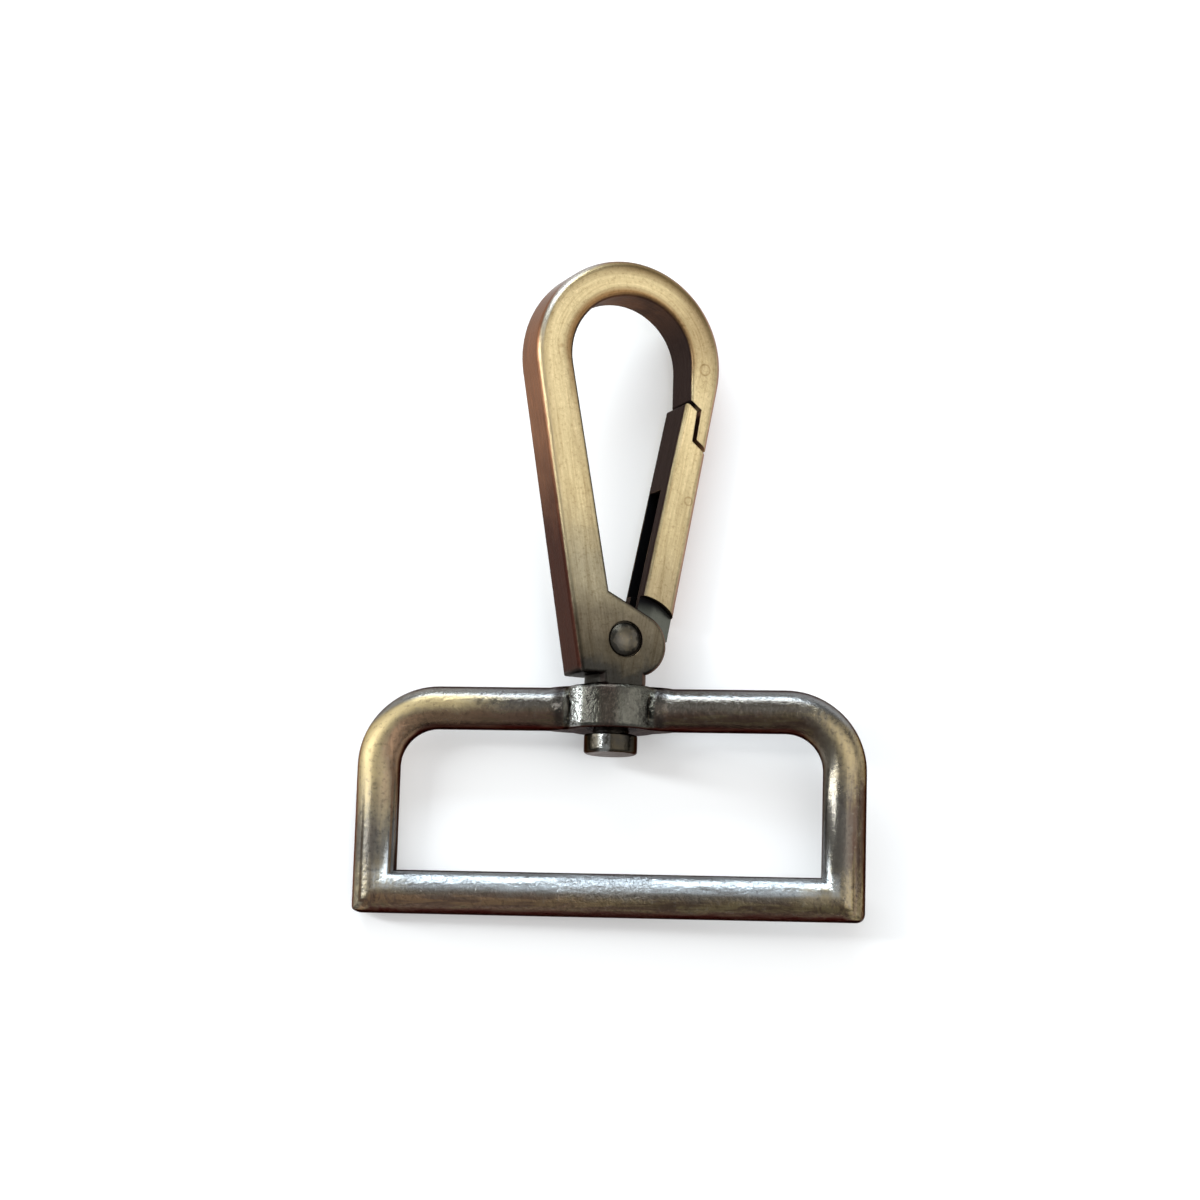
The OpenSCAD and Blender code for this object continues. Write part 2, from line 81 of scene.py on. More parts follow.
# Marks in the brass: how often the broad bands come in a metre, and how far hair cracks wander
BANDS_ACROSS = 1500.0
BANDS_ALONG = 130.0
HAIR_WANDER = 0.0006

# A small round stain and two rings pressed into the face: place, outer radius, line width
STAINS = (
    ((-6.84 * MM, 32.3 * MM), 0.30 * MM, 0.30 * MM),
    ((7.46 * MM, 31.85 * MM), 0.62 * MM, 0.12 * MM),
    ((6.1 * MM, 19.4 * MM), 0.50 * MM, 0.12 * MM),
)

# The rivet's crown: its dome in the bump ends at this radius squared, with this fall
CROWN_SQUARE = 4.0e-6
CROWN_FALL = -120.0

# The ring's plating: brush strokes in a metre, and where straps rub: place, radius, strength
STROKES_ALONG = 240
STROKES_ACROSS = 1700
RING_MID_Z = 1.9 * MM
RING_RUBS = (
    ((-18.3 * MM, -2.0 * MM), 13.5 * MM, 1.0),
    ((20.0 * MM, -3.5 * MM), 7.0 * MM, 0.55),
    ((20.0 * MM, -17.0 * MM), 6.0 * MM, 0.42),
    ((-21.0 * MM, -16.6 * MM), 5.5 * MM, 0.38),
)

# Tint of each metal where its surface turns away
BRASS_RIM = (0.62, 0.60, 0.58)
DARK_RIM = (0.40, 0.34, 0.32)
RING_RIM = (0.30, 0.24, 0.23)
METAL_SPECULAR = 0.2

# Colours of single marks, for the brass, for the small round pieces and for the ring
# Painted highlight on the hook's left edge, gold along the rail and silver round the loop
EDGE_GOLD_HIGHLIGHT = (0.66, 0.52, 0.30)
EDGE_SILVER_HIGHLIGHT = (0.52, 0.52, 0.50)
EDGE_WORN = (0.50, 0.33, 0.18)
# Painted shade on the slot's walls
SLOT_SHADE = (0.008, 0.008, 0.009)
# Dark patina and painted shade for the brass's recesses
BRASS_DIRT_AND_SHADE = (0.010, 0.008, 0.008)
STAIN_TINT = (0.52, 0.42, 0.32)
# Painted highlight down the stud's left side
STUD_PAINTED_HIGHLIGHT = (0.42, 0.43, 0.42)
CROWN_RING = (0.030, 0.028, 0.024)
# Dark patina and painted shade for the small pieces' recesses
DARK_DIRT_AND_SHADE = (0.012, 0.011, 0.010)
# Painted highlight on the ring's upward flanks
TOP_PAINTED_HIGHLIGHT = (0.25, 0.26, 0.27)
# Painted shade along the ring's upward edges
TOP_EDGE_SHADE = (0.045, 0.042, 0.042)
CORNER_WARM = (0.27, 0.165, 0.105)
CORNER_WARM_DARK = (0.17, 0.10, 0.066)
FOOT_RUST = (0.30, 0.185, 0.105)
# Painted highlight on the foot bar's upper flank
FOOT_PAINTED_HIGHLIGHT = (0.40, 0.43, 0.45)
FOOT_CORNER = (0.34, 0.16, 0.075)
LEFT_COPPER = (0.21, 0.105, 0.070)
# Painted shade where the ring's bars turn edge-on
FLANK_MAROON_SHADE = (0.040, 0.017, 0.014)
MAROON = (0.040, 0.015, 0.013)
MAROON_PALE = (0.060, 0.036, 0.028)
GRAIN_DARK = (0.030, 0.024, 0.020)
BARREL_GREEN = (0.105, 0.103, 0.086)
BARREL_GREEN_DARK = (0.058, 0.056, 0.047)
# The barrel's painted dark reflection, painted highlight and painted shade, then dirt and painted
# shade for its hollows
BARREL_BROWN_REFLECTION = (0.060, 0.042, 0.034)
BARREL_PAINTED_HIGHLIGHT = (0.42, 0.43, 0.41)
BARREL_PAINTED_SHADE = (0.060, 0.056, 0.048)
HOLLOW_DIRT_AND_SHADE = (0.030, 0.026, 0.024)
# Dark patina and painted shade for the ring's recesses
RING_DIRT_AND_SHADE = (0.015, 0.013, 0.013)

# Sharp edges are broken and shaded apart above this angle
SHARP_ANGLE = math.radians(32)
MERGE_DISTANCE = 0.0005 * MM
FLAT_ANGLE = math.radians(0.3)

# Lamps: place from the part's middle, and size, in metres; colour
WINDOW_LAMP = ((-0.08, 0.52, 0.31), (0.40, 0.20), (0.82, 0.92, 1.0))
STRIP_LAMP = ((-0.52, 0.10, 0.32), (0.07, 0.50), (0.92, 0.97, 1.0))
SIDE_LAMP = ((0.50, 0.0, 0.62), (0.70, 0.90), (1.0, 0.98, 0.94))
PART_MIDDLE = SWIVEL_AT + Vector((0, 12 * MM, 0))

# Table and room: the table's own glow where it is looked at, the room's strength by direction
TABLE_RADIUS = 3.0
TABLE_GLOW = 0.22
BRIGHT_WAY = Vector((0.62, -0.08, 0.78)).normalized()
ROOM_LEVELS = (("From Min", 0.45), ("From Max", 1.0), ("To Min", 0.40), ("To Max", 0.95))

# Camera: how it was turned over the ring's plane, in degrees about X, Y and Z, and its shift
CAMERA_TURNS = {"X": -9.69, "Y": -7.27, "Z": -1.69}
CAMERA_ASIDE = (-1.03 * MM, 9.87 * MM)


# Properties
class SnapHookSizes(bpy.types.PropertyGroup):
    edge_break: bpy.props.FloatProperty(
        name="Edge break",
        description="Width of the small bevel on the cast edges",
        default=0.12 * MM,
        min=0.02 * MM,
        max=0.3 * MM,
        unit="LENGTH",
    )
    brush_width: bpy.props.FloatProperty(
        name="Brush line width",
        description="Width of one line of the lengthwise brushing",
        default=0.19 * MM,
        min=0.04 * MM,
        max=0.4 * MM,
        unit="LENGTH",
    )
    brush_length: bpy.props.FloatProperty(
        name="Brush line length",
        description="Length of one line of the lengthwise brushing",
        default=4.5 * MM,
        min=1 * MM,
        max=12 * MM,
        unit="LENGTH",
    )


class SnapHookColours(bpy.types.PropertyGroup):
    face_gold: bpy.props.FloatVectorProperty(
        name="Brushed face",
        description="Pale gold of the loop's face",
        default=(0.56, 0.455, 0.255),
        subtype="COLOR",
        size=3,
    )
    face_olive: bpy.props.FloatVectorProperty(
        name="Ear patina",
        description="Olive grey of the ears",
        default=(0.115, 0.096, 0.066),
        subtype="COLOR",
        size=3,
    )
    neck_dark: bpy.props.FloatVectorProperty(
        name="Neck",
        description="Nearly black metal of the neck above the barrel",
        default=(0.030, 0.028, 0.024),
        subtype="COLOR",
        size=3,
    )
    side_copper: bpy.props.FloatVectorProperty(
        name="Outer sides",
        description="Copper brown of the loop's outer sides",
        default=(0.205, 0.095, 0.052),
        subtype="COLOR",
        size=3,
    )
    side_low: bpy.props.FloatVectorProperty(
        name="Outer sides, low",
        description="Reddish brown of the outer sides near the foot",
        default=(0.046, 0.016, 0.011),
        subtype="COLOR",
        size=3,
    )
    edge_pink: bpy.props.FloatVectorProperty(
        name="Rubbed edge",
        description="Pinkish copper of the rounded edge on the gate's side",
        default=(0.36, 0.205, 0.145),
        subtype="COLOR",
        size=3,
    )
    inner_brown: bpy.props.FloatVectorProperty(
        name="Inner walls",
        description="Nearly black brown of the walls that brushing never reaches",
        default=(0.036, 0.022, 0.019),
        subtype="COLOR",
        size=3,
    )
    tongue: bpy.props.FloatVectorProperty(
        name="Tongue",
        description="Dark grey green of the gate's tongue between the ears",
        default=(0.080, 0.083, 0.070),
        subtype="COLOR",
        size=3,
    )
    pewter: bpy.props.FloatVectorProperty(
        name="Ring plating",
        description="Dark pewter of the ring's upper flanks",
        default=(0.140, 0.128, 0.110),
        subtype="COLOR",
        size=3,
    )
    ring_brown: bpy.props.FloatVectorProperty(
        name="Ring brown",
        description="Reddish brown of the ring's lower flanks",
        default=(0.135, 0.088, 0.064),
        subtype="COLOR",
        size=3,
    )
    ring_gold: bpy.props.FloatVectorProperty(
        name="Ring gold",
        description="Gold that shows where the ring's plating is rubbed",
        default=(0.46, 0.36, 0.19),
        subtype="COLOR",
        size=3,
    )
    table: bpy.props.FloatVectorProperty(
        name="Table",
        description="Colour of the table under the part",
        default=(0.8, 0.8, 0.8),
        subtype="COLOR",
        size=3,
    )


class SnapHookStage(bpy.types.PropertyGroup):
    lens: bpy.props.FloatProperty(
        name="Lens",
        description="Focal length of the camera in millimetres",
        default=87.03,
        min=20,
        max=200,
    )
    distance: bpy.props.FloatProperty(
        name="Camera distance",
        description="Distance of the camera from the barrel",
        default=0.26,
        min=0.1,
        max=1.0,
        unit="LENGTH",
    )
    window_power: bpy.props.FloatProperty(
        name="Window light",
        description="Power of the cool light that comes low from beyond the loop",
        default=2.7,
        min=0,
        max=50,
    )
    strip_power: bpy.props.FloatProperty(
        name="Strip light",
        description="Power of the narrow cool light from the left",
        default=2.6,
        min=0,
        max=50,
    )
    side_power: bpy.props.FloatProperty(
        name="Side light",
        description="Power of the wide soft light from the right",
        default=1.8,
        min=0,
        max=50,
    )


# Node helpers
class Nodes:
    """Short calls that add and join the nodes of one material."""

    def __init__(self, name):
        self.material = bpy.data.materials.new(name)
        self.material.use_nodes = True
        self.tree = self.material.node_tree
        self.tree.nodes.clear()

    def put(self, socket, value):
        if isinstance(value, bpy.types.NodeSocket):
            self.tree.links.new(value, socket)
        elif socket.type == "RGBA":
            socket.default_value = (*value, 1.0)[:4]
        else:
            socket.default_value = value

    def add(self, kind, **sockets):
        node = self.tree.nodes.new("ShaderNode" + kind)
        for name, value in sockets.items():
            self.put(node.inputs[name], value)
        return node

    def math(self, how, a, b=0.0, c=0.0, clamp=False):
        node = self.tree.nodes.new("ShaderNodeMath")
        node.operation = how
        node.use_clamp = clamp
        for socket, value in zip(node.inputs, (a, b, c)):
            self.put(socket, value)
        return node.outputs[0]

    def times(self, *values):
        """The product of the values."""
        product = values[0]
        for value in values[1:]:
            product = self.math("MULTIPLY", product, value)
        return product

    def apart(self, value, middle):
        """How far a value is from a middle, either way."""
        return self.math("ABSOLUTE", self.math("SUBTRACT", value, middle))

    def length(self, a, b):
        """Length of a step by a and b, at right angles."""
        return self.math("POWER", self.math("ADD", self.times(a, a), self.times(b, b)), 0.5)

    def varied(self, value, noise, amount):
        """The value, moved up and down by a noise that lies around 0.5."""
        return self.math("MULTIPLY_ADD", self.math("SUBTRACT", noise, 0.5), amount, value)

    def dot(self, vector, direction):
        node = self.tree.nodes.new("ShaderNodeVectorMath")
        node.operation = "DOT_PRODUCT"
        self.put(node.inputs[0], vector)
        node.inputs[1].default_value = direction
        return node.outputs["Value"]

    def step(self, value, low, high, to_low=0.0, to_high=1.0):
        """A smooth step from to_low at low to to_high at high."""
        node = self.tree.nodes.new("ShaderNodeMapRange")
        node.interpolation_type = "SMOOTHSTEP"
        ends = {"From Min": low, "From Max": high, "To Min": to_low, "To Max": to_high}
        for name, number in ends.items():
            node.inputs[name].default_value = number
        self.put(node.inputs["Value"], value)
        return node.outputs["Result"]

    def mix(self, factor, a, b, how="MIX"):
        node = self.tree.nodes.new("ShaderNodeMix")
        node.data_type = "RGBA"
        node.blend_type = how
        node.clamp_factor = True
        self.put(node.inputs["Factor"], factor)
        self.put(node.inputs[6], a)
        self.put(node.inputs[7], b)
        return node.outputs[2]

    def tint(self, colour, by, factor):
        """The colour multiplied by another one, as far as factor says."""
        return self.mix(factor, colour, by, "MULTIPLY")

    def ramp(self, value, stops):
        """A colour that runs smoothly through stops of place and colour."""
        node = self.tree.nodes.new("ShaderNodeValToRGB")
        node.color_ramp.interpolation = "EASE"
        points = node.color_ramp.elements
        while len(points) < len(stops):
            points.new(0.5)
        low, high = stops[0][0], stops[-1][0]
        for point, (at, colour) in zip(points, stops):
            point.position = (at - low) / (high - low)
            point.color = (*colour, 1.0)
        above = self.math("SUBTRACT", value, low)
        self.put(node.inputs["Fac"], self.math("DIVIDE", above, high - low, clamp=True))
        return node.outputs["Color"]

    def cracks(self, vector, scale, width):
        """1 along thin lines between irregular cells, 0 inside them."""
        node = self.tree.nodes.new("ShaderNodeTexVoronoi")
        node.feature = "DISTANCE_TO_EDGE"
        self.put(node.inputs["Vector"], vector)
        node.inputs["Scale"].default_value = scale
        return self.step(node.outputs["Distance"], 0.0, width, 1.0, 0.0)

    def vector(self, x, y, z):
        return self.add("CombineXYZ", X=x, Y=y, Z=z).outputs["Vector"]

    def place(self, vector, at, turn, scale=(1, 1, 1)):
        """Brings object coordinates into a working plane, then scales them."""
        node = self.tree.nodes.new("ShaderNodeMapping")
        node.vector_type = "TEXTURE"
        self.put(node.inputs["Vector"], vector)
        node.inputs["Location"].default_value = at
        node.inputs["Rotation"].default_value = turn.to_euler("XYZ")
        node.inputs["Scale"].default_value = [1 / s for s in scale]
        return node.outputs["Vector"]

    def noise(self, vector, scale, detail, rough, distortion=0.0):
        node = self.add("TexNoise", Vector=vector, Scale=scale, Detail=detail, Roughness=rough)
        node.inputs["Distortion"].default_value = distortion
        return node.outputs["Fac"]

    def spot(self, vector, at, radius):
        """1 at a place, falling smoothly to 0 at the radius."""
        node = self.tree.nodes.new("ShaderNodeVectorMath")
        node.operation = "DISTANCE"
        self.put(node.inputs[0], vector)
        node.inputs[1].default_value = at
        return self.step(node.outputs["Value"], 0.0, radius, 1.0, 0.0)

    def bump(self, height, distance, strength, normal=None):
        node = self.add("Bump", Height=height, Distance=distance, Strength=strength)
        if normal is not None:
            self.put(node.inputs["Normal"], normal)
        return node.outputs["Normal"]

    def metal(self, colour, roughness, normal, rim=BRASS_RIM):
        """Metal; rim is its tint where the surface turns away."""
        shader = self.add("BsdfPrincipled", Roughness=roughness, Normal=normal, Metallic=1.0)
        shader.inputs["Specular IOR Level"].default_value = METAL_SPECULAR
        shader.inputs["Specular Tint"].default_value = (*rim, 1.0)
        self.put(shader.inputs["Base Color"], colour)
        out = self.tree.nodes.new("ShaderNodeOutputMaterial")
        self.tree.links.new(shader.outputs["BSDF"], out.inputs["Surface"])
        return self.material


def soft_edges(nodes, radius):
    """Normal that is rounded over the edges, and a mask that is 1 on them."""
    bevel = nodes.tree.nodes.new("ShaderNodeBevel")
    bevel.samples = 6
    bevel.inputs["Radius"].default_value = radius
    geometry = nodes.tree.nodes.new("ShaderNodeNewGeometry")
    same_way = nodes.tree.nodes.new("ShaderNodeVectorMath")
    same_way.operation = "DOT_PRODUCT"
    nodes.tree.links.new(bevel.outputs["Normal"], same_way.inputs[0])
    nodes.tree.links.new(geometry.outputs["Normal"], same_way.inputs[1])
    mask = nodes.step(same_way.outputs["Value"], 0.80, 0.985, 1.0, 0.0)
    return bevel.outputs["Normal"], mask


def recess(nodes, distance):
    """1 in narrow recesses of the piece itself, 0 in the open."""
    node = nodes.tree.nodes.new("ShaderNodeAmbientOcclusion")
    node.samples = 8
    node.only_local = True
    node.inputs["Distance"].default_value = distance
    return nodes.step(node.outputs["AO"], 0.35, 0.9, 1.0, 0.0)


# Finishes
class Marks:
    """Values that the parts of one finish share, by name."""

    def __init__(self, **values):
        for name, value in values.items():
            setattr(self, name, value)


def scaled(colour, amount):
    return [amount * c for c in colour]


def brass_marks(n, at, rail, y, z, sizes):
    """Brushing and bands along the rails, cloudy patches, grain, hair cracks and pits."""
    lines = n.vector(
        n.math("MULTIPLY", rail, 1 / sizes.brush_width),
        n.math("MULTIPLY", y, 1 / sizes.brush_length),
        n.math("MULTIPLY", z, 1 / sizes.brush_width),
    )
    broad = n.vector(
        n.math("MULTIPLY", rail, BANDS_ACROSS),
        n.math("MULTIPLY", y, BANDS_ALONG),
        n.math("MULTIPLY", z, BANDS_ACROSS),
    )
    patch = n.noise(at, 300.0, 4.0, 0.6, 0.4)
    wander = n.mix(HAIR_WANDER, at, n.noise(at, 900.0, 2.0, 0.5))
    hair = n.cracks(wander, 1500.0, 0.09)
    return Marks(
        brushing=n.noise(lines, 1.0, 4.0, 0.65, 0.4),
        bands=n.noise(broad, 1.0, 3.0, 0.55, 0.6),
        patch=patch,
        grain=n.noise(at, 3300.0, 3.0, 0.65),
        hair=n.times(hair, n.step(patch, 0.49, 0.62)),
        pits=n.step(n.noise(at, 2100.0, 2.0, 0.5), 0.66, 0.76),
    )


def brass_face(n, x, y, rail, marks, tones):
    """The brushed face: tones by height, painted shade towards its edges, with its marks and
    stains.
    """
    face = n.ramp(n.varied(y, marks.patch, 5 * MM), tones)
    not_gate_side = n.math(
        "MAXIMUM", n.step(x, 2 * MM, -2 * MM), n.step(y, 33 * MM, 37 * MM, 0.35, 1.0)
    )
    # Painted shade of the rounded face, darker towards the rail's edges and the eye's inner edge
    rail_edge_shade = n.times(
        n.step(n.apart(rail, RAIL_MIDDLE), 0.35 * MM, 1.5 * MM),
        n.step(y, 22 * MM, 36 * MM, 0.25, 0.85),
        not_gate_side,
    )
    eye_edge_shade = n.times(n.step(rail, 6.7 * MM, 6.05 * MM), n.step(y, 24 * MM, 36 * MM, 0.0, 0.8))
    upper_right = n.times(
        n.step(rail, 7.5 * MM, 8.7 * MM),
        n.step(y, 34 * MM, 38 * MM),
        n.step(x, -4 * MM, 1 * MM, 0.0, 0.85),
    )
    shoulder = n.spot(n.vector(x, y, 0.0), (7.2 * MM, 35.2 * MM, 0.0), 6.5 * MM)
    for mask, tint in (
        # Painted shade towards the rail's edges and the eye's inner edge
        (rail_edge_shade, (0.52, 0.48, 0.44)),
        (eye_edge_shade, (0.75, 0.48, 0.34)),
        (upper_right, (0.50, 0.42, 0.35)),
        (n.times(shoulder, 0.85), (0.55, 0.50, 0.46)),
        (n.step(marks.bands, 0.42, 0.70, 0.0, 0.45), (0.60, 0.55, 0.48)),
        (n.step(marks.brushing, 0.50, 0.68, 0.0, 0.55), (1.35, 1.35, 1.40)),
        (n.step(marks.brushing, 0.48, 0.34, 0.0, 0.45), (0.62, 0.56, 0.48)),
        (n.step(marks.grain, 0.53, 0.68, 0.0, 0.40), (1.30, 1.30, 1.35)),
        (n.step(marks.grain, 0.46, 0.32, 0.0, 0.50), (0.62, 0.56, 0.48)),
        (n.times(marks.hair, 0.28), (0.55, 0.50, 0.42)),
        (n.times(marks.pits, 0.45), (0.50, 0.42, 0.34)),
    ):
        face = n.tint(face, tint, mask)

    for (across, up), radius, width in STAINS:
        off = n.length(n.math("SUBTRACT", x, across), n.math("SUBTRACT", y, up))
        mark = n.step(n.apart(off, radius - width), 0.3 * width, width, 0.5, 0.0)
        face = n.tint(face, STAIN_TINT, mark)
    return face


def brass_sides(n, x, y, right, outside, marks, colours):
    """The sides: copper outside, pinkish where the gate's side is rubbed, nearly black inside."""
    low = n.step(n.varied(y, marks.patch, 10 * MM), 28 * MM, 13 * MM)
    copper = n.mix(low, colours.side_copper, colours.side_low)
    copper = n.mix(n.step(y, NECK_TOP, NECK_LOW), copper, colours.neck_dark)
    dark_pink = scaled(colours.edge_pink, 0.3)
    rubbed = n.mix(n.step(y, 12 * MM, 4 * MM), colours.edge_pink, dark_pink)
    copper = n.mix(n.step(right, 0.1, 0.4), copper, rubbed)
    copper = n.tint(copper, (1.7, 1.6, 1.5), n.step(marks.brushing, 0.48, 0.70, 0.0, 0.60))
    copper = n.tint(copper, (0.5, 0.45, 0.42), n.step(marks.bands, 0.55, 0.30, 0.0, 0.22))

    # Warm light brown shows on the inner wall at the top of the loop
    warm = n.spot(n.vector(x, y, 0.0), (-1.0 * MM, 39.5 * MM, 0.0), 9.0 * MM)
    warm = n.times(warm, n.step(marks.patch, 0.30, 0.60, 0.35, 1.0))
    inner = n.mix(warm, colours.inner_brown, scaled(colours.side_copper, 0.8))
    return n.mix(outside, inner, copper)


def brushed_brass(name, colours, tones, sizes):
    """Antique brass: faces brushed lengthwise, copper sides, nearly black inner walls.

    tones are the face's colours from the neck up to the loop, each with its height."""
    n = Nodes(name)
    coords = n.tree.nodes.new("ShaderNodeTexCoord")
    at = coords.outputs["Object"]
    x, y, z = n.add("SeparateXYZ", Vector=n.place(at, SWIVEL_AT, HOOK_TURN)).outputs
    facing = n.math("ABSOLUTE", n.dot(coords.outputs["Normal"], FACE_DIR))
    right = n.dot(coords.outputs["Normal"], SIDE_DIR)

    # Distance from the middle line, measured so that it stays the same along the leaning rails
    fall = n.math("MAXIMUM", n.math("SUBTRACT", EYE_Y, y), 0.0)
    rise = n.math("MAXIMUM", n.math("SUBTRACT", y, EYE_Y), 0.0)
    rail = n.math("MULTIPLY_ADD", fall, RAIL_LEAN, n.length(x, rise))
    outside = n.step(rail, 7.2 * MM, 7.7 * MM)
    marks = brass_marks(n, at, rail, y, z, sizes)
    face = brass_face(n, x, y, rail, marks, tones)
    side = brass_sides(n, x, y, right, outside, marks, colours)

    # The face gives way to the sides at its rounded edges, sooner on the gate's side
    turned = n.math("MULTIPLY_ADD", n.step(right, 0.12, 0.5), -0.22, facing)
    turned = n.varied(turned, marks.patch, 0.22)
    at_front = n.step(n.math("ABSOLUTE", z), FACE_Z - FACE_MARGIN, FACE_Z)
    is_face = n.times(n.step(turned, 0.50, 0.84), at_front)
    colour = n.mix(is_face, side, face)

    # The left edge carries a painted highlight: gold along the rail, silver round the loop
    painted_edge_highlight = n.times(
        n.step(right, -0.15, -0.4),
        n.step(right, -0.85, -0.6),
        outside,
        n.step(y, 8 * MM, 22 * MM, 0.0, 0.6),
    )
    colour = n.mix(painted_edge_highlight, colour, n.mix(n.step(y, 31 * MM, 36 * MM), EDGE_GOLD_HIGHLIGHT, EDGE_SILVER_HIGHLIGHT))

    # Worn edges, the tongue below and painted shade on the slot's walls above, then the deep
    # corners
    normal, edge = soft_edges(n, 0.14 * MM)
    worn = n.times(
        edge, n.step(marks.patch, 0.40, 0.62, 0.0, 0.45), n.step(y, 6 * MM, 16 * MM, 0.5, 1.0)
    )
    colour = n.mix(worn, colour, EDGE_WORN)
    sunk = n.times(n.math("SUBTRACT", 1.0, at_front), n.step(facing, 0.5, 0.8))
    # Above the tongue the slot's walls are painted nearly black as shade
    walls = n.mix(n.step(y, 8.6 * MM, 10.0 * MM), colours.tongue, SLOT_SHADE)
    colour = n.mix(sunk, colour, walls)
    # Dark patina and painted shade in the piece's own recesses
    colour = n.mix(n.times(recess(n, 0.8 * MM), 0.85), colour, BRASS_DIRT_AND_SHADE)

    # Cast inner walls are dull, brushed faces are bright metal
    bright = n.math("MAXIMUM", is_face, outside)
    roughness = n.math("MULTIPLY_ADD", bright, -0.20, 0.45)
    roughness = n.math("MULTIPLY_ADD", marks.brushing, 0.24, roughness)

    # The loop's face is a little domed; brushing, cracks and grain stand in it
    off = n.math("SUBTRACT", rail, RAIL_MIDDLE)
    dome = n.times(off, off, n.step(y, 22 * MM, 36 * MM, -12.0, -62.0))
    normal = n.bump(dome, 1.0, 1.0, normal)
    normal = n.bump(marks.brushing, 0.012 * MM, 0.6, normal)
    normal = n.bump(n.times(marks.hair, is_face), -0.008 * MM, 0.5, normal)
    normal = n.bump(marks.grain, 0.040 * MM, 0.6, normal)
    return n.metal(colour, roughness, normal)


def dark_pewter(name, colours, tone, dull, gilt):
    """Dark antique plating of the small round pieces.

    tone scales its colours, dull is its least roughness and gilt its share of gold."""
    n = Nodes(name)
    at = n.tree.nodes.new("ShaderNodeTexCoord").outputs["Object"]
    patch = n.noise(at, 600.0, 4.0, 0.65)
    grain = n.noise(at, 2600.0, 3.0, 0.6)
    pewter = scaled(colours.pewter, 0.75 * tone)
    olive = scaled(colours.face_olive, 1.3 * tone)
    colour = n.mix(n.step(patch, 0.3, 0.7), pewter, olive)
    specks = n.step(grain, 0.60, 0.75, 0.0, 0.5 * gilt)
    colour = n.mix(specks, colour, scaled(colours.ring_gold, 0.8 * tone))
    normal, edge = soft_edges(n, 0.16 * MM)
    colour = n.mix(n.times(edge, 0.4 * gilt), colour, scaled(colours.ring_gold, tone))

    # A painted highlight: a pale strip down the left of the ungilded stud
    aside = n.apart(n.dot(at, SIDE_DIR), SWIVEL_AT.dot(SIDE_DIR) - 1.45 * MM)
    strip = n.step(aside, 0.55 * MM, 0.15 * MM)
    strip = n.times(strip, n.step(grain, 0.36, 0.52, 0.1, 0.8 * (1.0 - gilt)))
    colour = n.mix(strip, colour, STUD_PAINTED_HIGHLIGHT)
    # Dark patina and painted shade in the piece's own recesses
    colour = n.mix(n.times(recess(n, 0.7 * MM), 0.8), colour, DARK_DIRT_AND_SHADE)

    # A crown near the pivot is domed, with a dark ragged ring inside its rim
    x, y = n.add("SeparateXYZ", Vector=n.place(at, PIVOT_AT, HOOK_TURN)).outputs[:2]
    square = n.math("ADD", n.times(x, x), n.times(y, y))
    off = n.varied(n.math("POWER", square, 0.5), grain, 1.0 * MM)
    ring = n.times(n.step(off, 1.02 * MM, 1.20 * MM), n.step(off, 1.9 * MM, 1.5 * MM))
    colour = n.mix(n.times(ring, 0.8), colour, CROWN_RING)
    dome = n.times(n.math("MINIMUM", square, CROWN_SQUARE), CROWN_FALL)
    normal = n.bump(dome, 1.0, 1.0, normal)
    normal = n.bump(grain, 0.05 * MM, 0.6, normal)
    roughness = n.math("MULTIPLY_ADD", patch, 0.2, dull)
    return n.metal(colour, roughness, normal, DARK_RIM)


def ring_places(n):
    """Where a point of the ring is, which way it faces, and the marks in its plating."""
    coords = n.tree.nodes.new("ShaderNodeTexCoord")
    at = coords.outputs["Object"]
    facing_out = coords.outputs["Normal"]
    local = n.place(at, SWIVEL_AT, RING_TURN)
    x, y = n.add("SeparateXYZ", Vector=local).outputs[:2]
    along = n.place(at, SWIVEL_AT, RING_TURN, (STROKES_ALONG, STROKES_ACROSS, STROKES_ACROSS))
    up = n.place(at, SWIVEL_AT, RING_TURN, (STROKES_ACROSS, STROKES_ALONG, STROKES_ACROSS))
    on_side = n.step(n.math("ABSOLUTE", x), 17.5 * MM, 19.5 * MM)
    strokes = n.mix(
        on_side, n.noise(along, 1.0, 4.0, 0.6, 0.8), n.noise(up, 1.0, 4.0, 0.6, 0.8)
    )
    return Marks(
        local=local,
        x=x,
        y=y,
        aside=n.math("ABSOLUTE", x),
        facing=n.math("ABSOLUTE", n.dot(facing_out, RING_TURN.col[2])),
        upward=n.dot(facing_out, RING_TURN.col[1]),
        right=n.dot(facing_out, RING_TURN.col[0]),
        on_side=on_side,
        on_foot=n.step(y, -14.0 * MM, -15.5 * MM),
        strokes=strokes,
        patch=n.noise(at, 330.0, 5.0, 0.68, 0.3),
        grain=n.noise(at, 2500.0, 3.0, 0.6),
        dents=n.noise(at, 800.0, 2.0, 0.5),
    )


